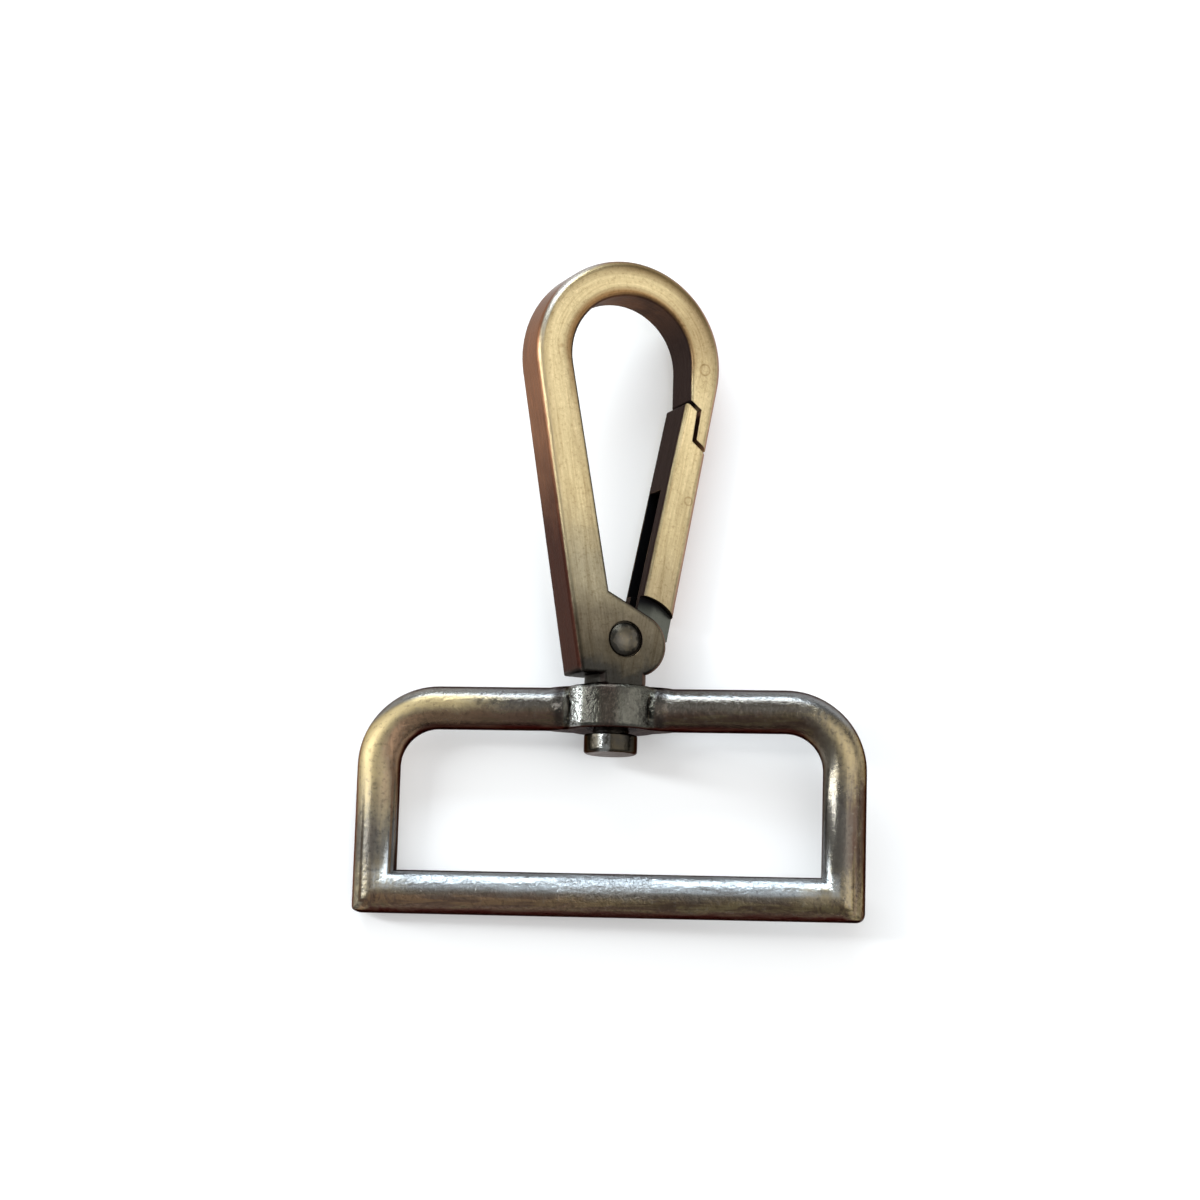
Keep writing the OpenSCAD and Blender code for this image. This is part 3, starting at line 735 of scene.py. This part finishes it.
def ring_flanks(n, ring, colours):
    """Pewter with a painted highlight on the flanks that look up the page; brown on the others,
    partly patina and partly a painted reflection; a painted pale highlight along the foot bar.
    """
    upward, strokes = ring.upward, ring.strokes
    # The brown on the flanks that look down the page is partly patina, partly a painted reflection
    brown = n.mix(
        n.step(ring.x, -6 * MM, 4 * MM), colours.ring_brown, scaled(colours.ring_brown, 0.62)
    )
    brown = n.mix(n.step(strokes, 0.46, 0.62, 0.0, 0.6), brown, scaled(colours.ring_gold, 0.34))
    golden = n.times(
        n.step(upward, -0.75, -0.45),
        n.step(upward, -0.05, -0.25),
        ring.on_foot,
        n.step(strokes, 0.38, 0.60, 0.1, 0.9),
    )
    rust = n.mix(n.step(ring.x, 8 * MM, -16 * MM), scaled(colours.ring_gold, 0.45), FOOT_RUST)
    brown = n.mix(golden, brown, rust)
    warm = n.times(n.spot(ring.local, (-19.0 * MM, -2.0 * MM, RING_MID_Z), 16.0 * MM), 0.85)
    warm_brown = n.mix(n.step(strokes, 0.40, 0.62), CORNER_WARM, CORNER_WARM_DARK)
    brown = n.mix(warm, brown, warm_brown)
    # A painted silver highlight on the flanks that look up the page
    silver = n.mix(n.step(upward, 0.35, 0.55, 0.0, 0.6), colours.pewter, TOP_PAINTED_HIGHLIGHT)
    turned = n.varied(n.math("MULTIPLY_ADD", ring.right, -0.45, upward), ring.patch, 0.7)
    colour = n.mix(n.step(turned, 0.12, -0.42), silver, brown)
    colour = n.mix(n.step(strokes, 0.52, 0.72, 0.0, 0.35), colour, scaled(colours.pewter, 0.55))
    # A painted pale highlight along the upper flank of the foot bar
    pale = n.times(
        n.step(upward, -0.08, 0.20),
        n.step(upward, 0.97, 0.80),
        ring.on_foot,
        n.step(strokes, 0.60, 0.42, 0.45, 0.95),
    )
    return n.mix(pale, colour, FOOT_PAINTED_HIGHLIGHT)


def ring_rubs(n, ring):
    """1 where the plating is rubbed through to gold, on what looks outward near the corners."""
    away = n.times(ring.right, n.step(ring.x, -1 * MM, 1 * MM, -0.6, 0.6))
    outward = n.varied(n.math("ADD", ring.upward, away), ring.patch, 0.6)
    outward = n.step(outward, -0.40, 0.15, 0.10, 1.0)
    rubbed = 0.0
    for (across, up), radius, strength in RING_RUBS:
        rub = n.times(n.spot(ring.local, (across, up, RING_MID_Z), radius), strength)
        rub = n.varied(n.varied(rub, ring.strokes, 0.4), ring.grain, 0.4)
        rub = n.step(rub, 0.05, 0.85)
        rubbed = n.math("MAXIMUM", n.times(rub, outward), rubbed)
    # Less gold on the flanks that look up the page, where the painted highlight lies
    return n.times(rubbed, n.step(ring.upward, 0.34, 0.56, 1.0, 0.12))


def ring_barrel(n, ring, colour):
    """Lays the barrel over a colour: greener, with a painted dark reflection down its middle, a
    painted highlight and painted shade towards its left, and dirt and painted shade in the hollows
    beside it.
    """
    at_barrel = n.step(n.math("ABSOLUTE", ring.y), 2.4 * MM, 2.1 * MM)
    barrel = n.times(n.step(ring.aside, 4.3 * MM, 3.9 * MM), at_barrel)
    # A painted dark reflection down the barrel's middle
    middle = n.times(
        n.step(n.apart(ring.x, 0.1 * MM), 1.3 * MM, 0.3 * MM),
        n.step(ring.upward, -0.9, 0.3, 0.9, 0.6),
    )
    # A painted highlight near the barrel's left edge
    painted_shine = n.times(
        n.step(n.apart(ring.x, -2.85 * MM), 0.75 * MM, 0.35 * MM),
        n.step(ring.grain, 0.34, 0.52, 0.2, 0.95),
    )
    # A painted dark strip of shade beside that highlight
    painted_dark_strip = n.spot(n.vector(ring.x, 0.0, 0.0), (-1.6 * MM, 0.0, 0.0), 0.9 * MM)
    green = n.mix(n.step(ring.patch, 0.35, 0.65), BARREL_GREEN, BARREL_GREEN_DARK)
    green = n.mix(middle, green, BARREL_BROWN_REFLECTION)
    green = n.mix(painted_shine, green, BARREL_PAINTED_HIGHLIGHT)
    green = n.mix(painted_dark_strip, green, BARREL_PAINTED_SHADE)
    # Dirt and painted shade in the hollows beside the barrel
    hollow_dirt_and_shade = n.times(
        n.step(ring.aside, 3.9 * MM, 4.35 * MM), n.step(ring.aside, 5.3 * MM, 4.6 * MM), at_barrel
    )
    colour = n.mix(barrel, colour, green)
    return n.mix(n.times(hollow_dirt_and_shade, 0.75), colour, HOLLOW_DIRT_AND_SHADE)


def ring_plating(name, colours):
    """Dark antique plating of the ring: brown below, partly patina and partly a painted reflection,
    gold where straps have rubbed the corners.
    """
    n = Nodes(name)
    ring = ring_places(n)
    rubbed = ring_rubs(n, ring)
    colour = n.mix(rubbed, ring_flanks(n, ring, colours), colours.ring_gold)
    # A painted dark line of shade along the edges that face up the page
    colour = n.mix(n.step(ring.upward, 0.80, 0.93, 0.0, 0.8), colour, TOP_EDGE_SHADE)
    colour = ring_barrel(n, ring, colour)

    # Light and dark grain, maroon underneath and low on the flanks, painted maroon shade where the
    # bars turn edge-on, copper at the far left
    sideways = n.step(n.math("ABSOLUTE", ring.right), 0.5, 0.9)
    under = n.varied(n.math("MULTIPLY_ADD", sideways, -0.35, ring.upward), ring.patch, 0.2)
    maroon = n.mix(n.step(ring.strokes, 0.40, 0.64), MAROON, MAROON_PALE)
    left = n.times(n.step(ring.right, -0.72, -0.92, 0.0, 0.8), n.step(ring.x, -19 * MM, -21 * MM))
    corner = n.spot(ring.local, (-23.4 * MM, -21.6 * MM, 0.6 * MM), 3.2 * MM)
    for mask, layer in (
        (n.step(ring.grain, 0.56, 0.72, 0.0, 0.25), scaled(colours.pewter, 1.7)),
        (n.step(ring.grain, 0.46, 0.32, 0.0, 0.30), GRAIN_DARK),
        (n.step(under, -0.66, -0.86), maroon),
        # painted maroon shade where the bars turn edge-on
        (n.step(ring.facing, 0.46, 0.20, 0.0, 0.85), FLANK_MAROON_SHADE),
        (left, LEFT_COPPER),
        (n.math("MULTIPLY", corner, 1.3, clamp=True), FOOT_CORNER),
    ):
        colour = n.mix(mask, colour, layer)
    normal, edge = soft_edges(n, 0.2 * MM)
    colour = n.mix(n.times(edge, 0.3), colour, scaled(colours.ring_gold, 0.8))
    # Dark patina and painted shade in the ring's own recesses
    colour = n.mix(n.times(recess(n, 0.9 * MM), 0.7), colour, RING_DIRT_AND_SHADE)

    # Rubbed gold, the left bar and the foot bar are duller
    left_bar = n.times(ring.on_side, n.step(ring.x, 0.0, -1 * MM))
    foot_bar = n.times(ring.on_foot, n.math("SUBTRACT", 1.0, ring.on_side))
    roughness = n.math("MULTIPLY_ADD", rubbed, 0.17, 0.14)
    for mask, more in ((ring.patch, 0.20), (left_bar, 0.08), (foot_bar, 0.10)):
        roughness = n.math("MULTIPLY_ADD", mask, more, roughness)

    # The grain stands out most on the barrel and the foot bar, least on the side bars
    grain_height = n.times(
        n.step(ring.aside, 4.6 * MM, 3.8 * MM, 0.10 * MM, 0.20 * MM),
        n.math("MULTIPLY_ADD", ring.on_side, -0.65, n.math("MULTIPLY_ADD", ring.on_foot, 0.5, 1.0)),
    )
    normal = n.bump(ring.dents, 0.03 * MM, 0.5, normal)
    normal = n.bump(ring.strokes, 0.025 * MM, 0.6, normal)
    normal = n.bump(ring.grain, grain_height, 0.6, normal)
    return n.metal(colour, roughness, normal, RING_RIM)


def spring_wire(name):
    """Drawn steel wire with a faint oily tint."""
    n = Nodes(name)
    at = n.tree.nodes.new("ShaderNodeTexCoord").outputs["Object"]
    tone = n.noise(at, 1500.0, 3.0, 0.6)
    fine = n.noise(at, 9000.0, 2.0, 0.5)
    colour = n.mix(tone, (0.10, 0.10, 0.11), (0.26, 0.25, 0.24))
    roughness = n.math("MULTIPLY_ADD", tone, 0.2, 0.28)
    return n.metal(colour, roughness, n.bump(fine, 0.003 * MM, 0.5))


# Pieces
def softened_copy(node, name, width):
    """A copy of a solid with merged faces and a small bevel on its sharp edges."""
    bpy.ops.object.select_all(action="DESELECT")
    source = frame["nodes"][node]
    source.select_set(True)
    bpy.context.view_layer.objects.active = source
    bpy.ops.object.duplicate()
    piece = bpy.context.active_object
    piece.name = name
    piece.data.name = name
    piece.parent = None
    bpy.ops.object.mode_set(mode="EDIT")
    bpy.ops.mesh.select_all(action="SELECT")
    bpy.ops.mesh.remove_doubles(threshold=MERGE_DISTANCE)
    bpy.ops.mesh.dissolve_limited(angle_limit=FLAT_ANGLE, delimit={"NORMAL"})
    bpy.ops.object.mode_set(mode="OBJECT")
    if width:
        bevel = piece.modifiers.new("edge_break", "BEVEL")
        bevel.width = width
        bevel.segments = 2
        bevel.limit_method = "ANGLE"
        bevel.angle_limit = SHARP_ANGLE
        bevel.use_clamp_overlap = True
        bpy.ops.object.modifier_apply(modifier=bevel.name)
    bpy.ops.object.shade_smooth_by_angle(angle=SHARP_ANGLE)
    flats = piece.modifiers.new("flat_faces", "WEIGHTED_NORMAL")
    flats.keep_sharp = True
    bpy.ops.object.modifier_apply(modifier=flats.name)
    return piece


def dress(obj, material):
    obj.data.materials.clear()
    obj.data.materials.append(material)


def stand_for(piece, node, body):
    """The piece rides on a body and takes the place of its solid."""
    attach(piece, body)
    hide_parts(node)


class SNAPHOOK_OT_ring(bpy.types.Operator):
    """Dresses the strap ring in dark antique plating"""

    bl_idname = "snaphook.ring"
    bl_label = "Strap Ring"

    def execute(self, context):
        ring = softened_copy("strap_ring", "ring_frame", 0)
        dress(ring, ring_plating("ring_plating", context.scene.snap_colours))
        stand_for(ring, "strap_ring", "ring")
        return {"FINISHED"}


class SNAPHOOK_OT_hook(bpy.types.Operator):
    """Builds the softened hook body in brushed antique brass"""

    bl_idname = "snaphook.hook"
    bl_label = "Hook Body"

    def execute(self, context):
        scene = context.scene
        hook = softened_copy("hook_body", "hook_casting", scene.snap_sizes.edge_break)
        colours = scene.snap_colours
        tones = (
            (2.8 * MM, colours.neck_dark),
            (4.6 * MM, scaled(colours.face_olive, 0.6)),
            (7.5 * MM, colours.face_olive),
            (12 * MM, (0.27, 0.235, 0.155)),
            (20 * MM, scaled(colours.face_gold, 0.90)),
            (33 * MM, colours.face_gold),
        )
        dress(hook, brushed_brass("hook_brass", colours, tones, scene.snap_sizes))
        stand_for(hook, "hook_body", "hook")
        return {"FINISHED"}


class SNAPHOOK_OT_gate(bpy.types.Operator):
    """Builds the softened gate in brushed antique brass, with its dark tongue"""

    bl_idname = "snaphook.gate"
    bl_label = "Gate"

    def execute(self, context):
        scene = context.scene
        gate = softened_copy("gate", "gate_casting", scene.snap_sizes.edge_break)
        colours = scene.snap_colours
        tones = (
            (9 * MM, (0.30, 0.24, 0.14)),
            (17 * MM, scaled(colours.face_gold, 0.82)),
            (28 * MM, scaled(colours.face_gold, 1.08)),
        )
        dress(gate, brushed_brass("gate_brass", colours, tones, scene.snap_sizes))
        stand_for(gate, "gate", "gate_part")
        return {"FINISHED"}


class SNAPHOOK_OT_fasteners(bpy.types.Operator):
    """Dresses the swivel stud, the rivet and the spring"""

    bl_idname = "snaphook.fasteners"
    bl_label = "Stud, Rivet and Spring"

    def execute(self, context):
        colours = context.scene.snap_colours
        stud = dark_pewter("stud_plating", colours, tone=0.30, dull=0.08, gilt=0.2)
        rivet = dark_pewter("rivet_plating", colours, tone=0.85, dull=0.22, gilt=1.0)
        dress(frame["nodes"]["swivel_stud"], stud)
        dress(frame["nodes"]["gate_rivet"], rivet)
        dress(frame["nodes"]["gate_spring"], spring_wire("spring_steel"))
        return {"FINISHED"}


# Stage
def build_table(context):
    """A wide disc, with a little glow of its own where it is looked at."""
    bpy.ops.object.select_all(action="DESELECT")
    bpy.ops.mesh.primitive_circle_add(
        vertices=96, radius=TABLE_RADIUS, fill_type="NGON", location=(0, 0, 0)
    )
    table = context.active_object
    table.name = "table"
    n = Nodes("table_paper")
    rays = n.tree.nodes.new("ShaderNodeLightPath").outputs
    seen = n.math("MAXIMUM", rays["Is Camera Ray"], rays["Is Glossy Ray"])
    seen = n.math("MAXIMUM", seen, rays["Is Transmission Ray"])
    paper = n.add("BsdfDiffuse", Color=context.scene.snap_colours.table)
    glow = n.add("Emission", Color=(1, 1, 1), Strength=n.math("MULTIPLY", seen, TABLE_GLOW))
    both = n.tree.nodes.new("ShaderNodeAddShader")
    out = n.tree.nodes.new("ShaderNodeOutputMaterial")
    n.tree.links.new(paper.outputs[0], both.inputs[0])
    n.tree.links.new(glow.outputs[0], both.inputs[1])
    n.tree.links.new(both.outputs[0], out.inputs["Surface"])
    dress(table, n.material)


def light_room(scene):
    """A pale room around the table, brighter above and towards the right."""
    world = bpy.data.worlds.new("room")
    scene.world = world
    world.use_nodes = True
    tree = world.node_tree
    tree.nodes.clear()
    way = tree.nodes.new("ShaderNodeTexCoord")
    towards = tree.nodes.new("ShaderNodeVectorMath")
    towards.operation = "DOT_PRODUCT"
    towards.inputs[1].default_value = BRIGHT_WAY
    level = tree.nodes.new("ShaderNodeMapRange")
    level.interpolation_type = "SMOOTHSTEP"
    for name, number in ROOM_LEVELS:
        level.inputs[name].default_value = number
    room = tree.nodes.new("ShaderNodeBackground")
    room.inputs["Color"].default_value = (0.98, 0.99, 1.0, 1.0)
    out = tree.nodes.new("ShaderNodeOutputWorld")
    tree.links.new(way.outputs["Generated"], towards.inputs[0])
    tree.links.new(towards.outputs["Value"], level.inputs["Value"])
    tree.links.new(level.outputs["Result"], room.inputs["Strength"])
    tree.links.new(room.outputs["Background"], out.inputs["Surface"])


def hang_lamp(name, power, offset, size, colour):
    """A rectangular lamp that looks at the middle of the part."""
    light = bpy.data.lights.new(name, "AREA")
    light.shape = "RECTANGLE"
    light.size, light.size_y = size
    light.energy = power
    light.color = colour
    lamp = bpy.data.objects.new(name, light)
    lamp.location = PART_MIDDLE + Vector(offset)
    lamp.rotation_euler = (-Vector(offset)).to_track_quat("-Z", "Y").to_euler()
    bpy.context.collection.objects.link(lamp)


def place_camera(context):
    """The camera, turned and shifted as it stood over the part."""
    stage = context.scene.snap_stage
    tilt = Matrix.Identity(3)
    for axis in "ZXY":
        tilt = tilt @ Matrix.Rotation(math.radians(CAMERA_TURNS[axis]), 3, axis)
    turn = RING_TURN @ tilt.transposed()
    camera = bpy.data.cameras.new("camera")
    camera.lens = stage.lens
    camera.sensor_width = 36
    camera.clip_start = 0.01
    view = bpy.data.objects.new("camera", camera)
    offset = Vector((*CAMERA_ASIDE, stage.distance))
    view.matrix_world = Matrix.Translation(SWIVEL_AT + turn @ offset) @ turn.to_4x4()
    context.collection.objects.link(view)
    context.scene.camera = view


class SNAPHOOK_OT_stage(bpy.types.Operator):
    """Builds the table, the lights and the camera"""

    bl_idname = "snaphook.stage"
    bl_label = "Table, Light and Camera"

    def execute(self, context):
        scene = context.scene
        stage = scene.snap_stage
        build_table(context)
        light_room(scene)
        hang_lamp("window", stage.window_power, *WINDOW_LAMP)
        hang_lamp("strip", stage.strip_power, *STRIP_LAMP)
        hang_lamp("side_box", stage.side_power, *SIDE_LAMP)
        place_camera(context)
        scene.view_settings.view_transform = "Standard"
        return {"FINISHED"}


class SNAPHOOK_PT_panel(bpy.types.Panel):
    """Lists the pieces, sizes and colours of the snap hook"""

    bl_label = "Snap Hook"
    bl_idname = "SNAPHOOK_PT_panel"
    bl_space_type = "VIEW_3D"
    bl_region_type = "UI"
    bl_category = "Snap Hook"

    def draw(self, context):
        layout = self.layout
        for operator in OPERATORS:
            layout.operator(operator.bl_idname)
        for group_name in GROUPS:
            group = getattr(context.scene, group_name)
            box = layout.box()
            for name in group.__annotations__:
                box.prop(group, name)


OPERATORS = (
    SNAPHOOK_OT_ring,
    SNAPHOOK_OT_hook,
    SNAPHOOK_OT_gate,
    SNAPHOOK_OT_fasteners,
    SNAPHOOK_OT_stage,
)
GROUPS = {"snap_sizes": SnapHookSizes, "snap_colours": SnapHookColours, "snap_stage": SnapHookStage}


def register():
    for name, group in GROUPS.items():
        bpy.utils.register_class(group)
        setattr(bpy.types.Scene, name, bpy.props.PointerProperty(type=group))
    for cls in OPERATORS + (SNAPHOOK_PT_panel,):
        bpy.utils.register_class(cls)


def unregister():
    for cls in reversed(OPERATORS + (SNAPHOOK_PT_panel,)):
        bpy.utils.unregister_class(cls)
    for name, group in GROUPS.items():
        delattr(bpy.types.Scene, name)
        bpy.utils.unregister_class(group)


def main():
    register()
    bpy.ops.snaphook.ring()
    bpy.ops.snaphook.hook()
    bpy.ops.snaphook.gate()
    bpy.ops.snaphook.fasteners()
    bpy.ops.snaphook.stage()


if __name__ == "__main__":
    main()
